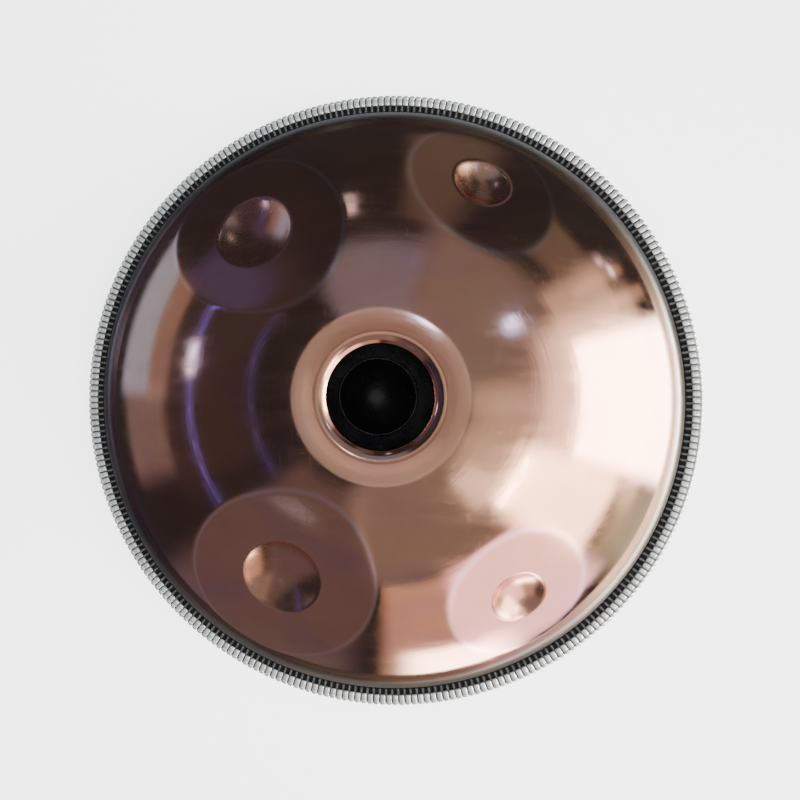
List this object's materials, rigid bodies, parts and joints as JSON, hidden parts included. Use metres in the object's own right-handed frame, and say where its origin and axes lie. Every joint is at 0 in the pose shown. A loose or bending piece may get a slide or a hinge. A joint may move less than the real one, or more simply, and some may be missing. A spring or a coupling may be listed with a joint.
{
  "type": "handpan",
  "caption": "Round steel hand drum: two dished shells joined at a trimmed rim, with a lipped port and dimpled tone fields.",
  "frame": {"origin": "on the ground under the axis of the shells, at the centre of the flat ding field that the handpan rests on", "axes": "+Z out of the port, away from the ground; +X and +Y are the right and the top of the port side seen from above it"},
  "size_m": [0.56, 0.56, 0.2201],
  "materials": {
    "shell_metal": "polished steel with a copper-bronze heat tint",
    "adhesive": "cured two-part adhesive, satin",
    "lining_rubber": "matt black rubber",
    "strip_metal": "satin silver"
  },
  "bodies": {
    "root": {"ding_shell": "shell_metal", "port_shell": "shell_metal", "rim_bond": "adhesive", "trim_lining": "lining_rubber", "trim_strip": "strip_metal"}
  },
  "joints": []
}
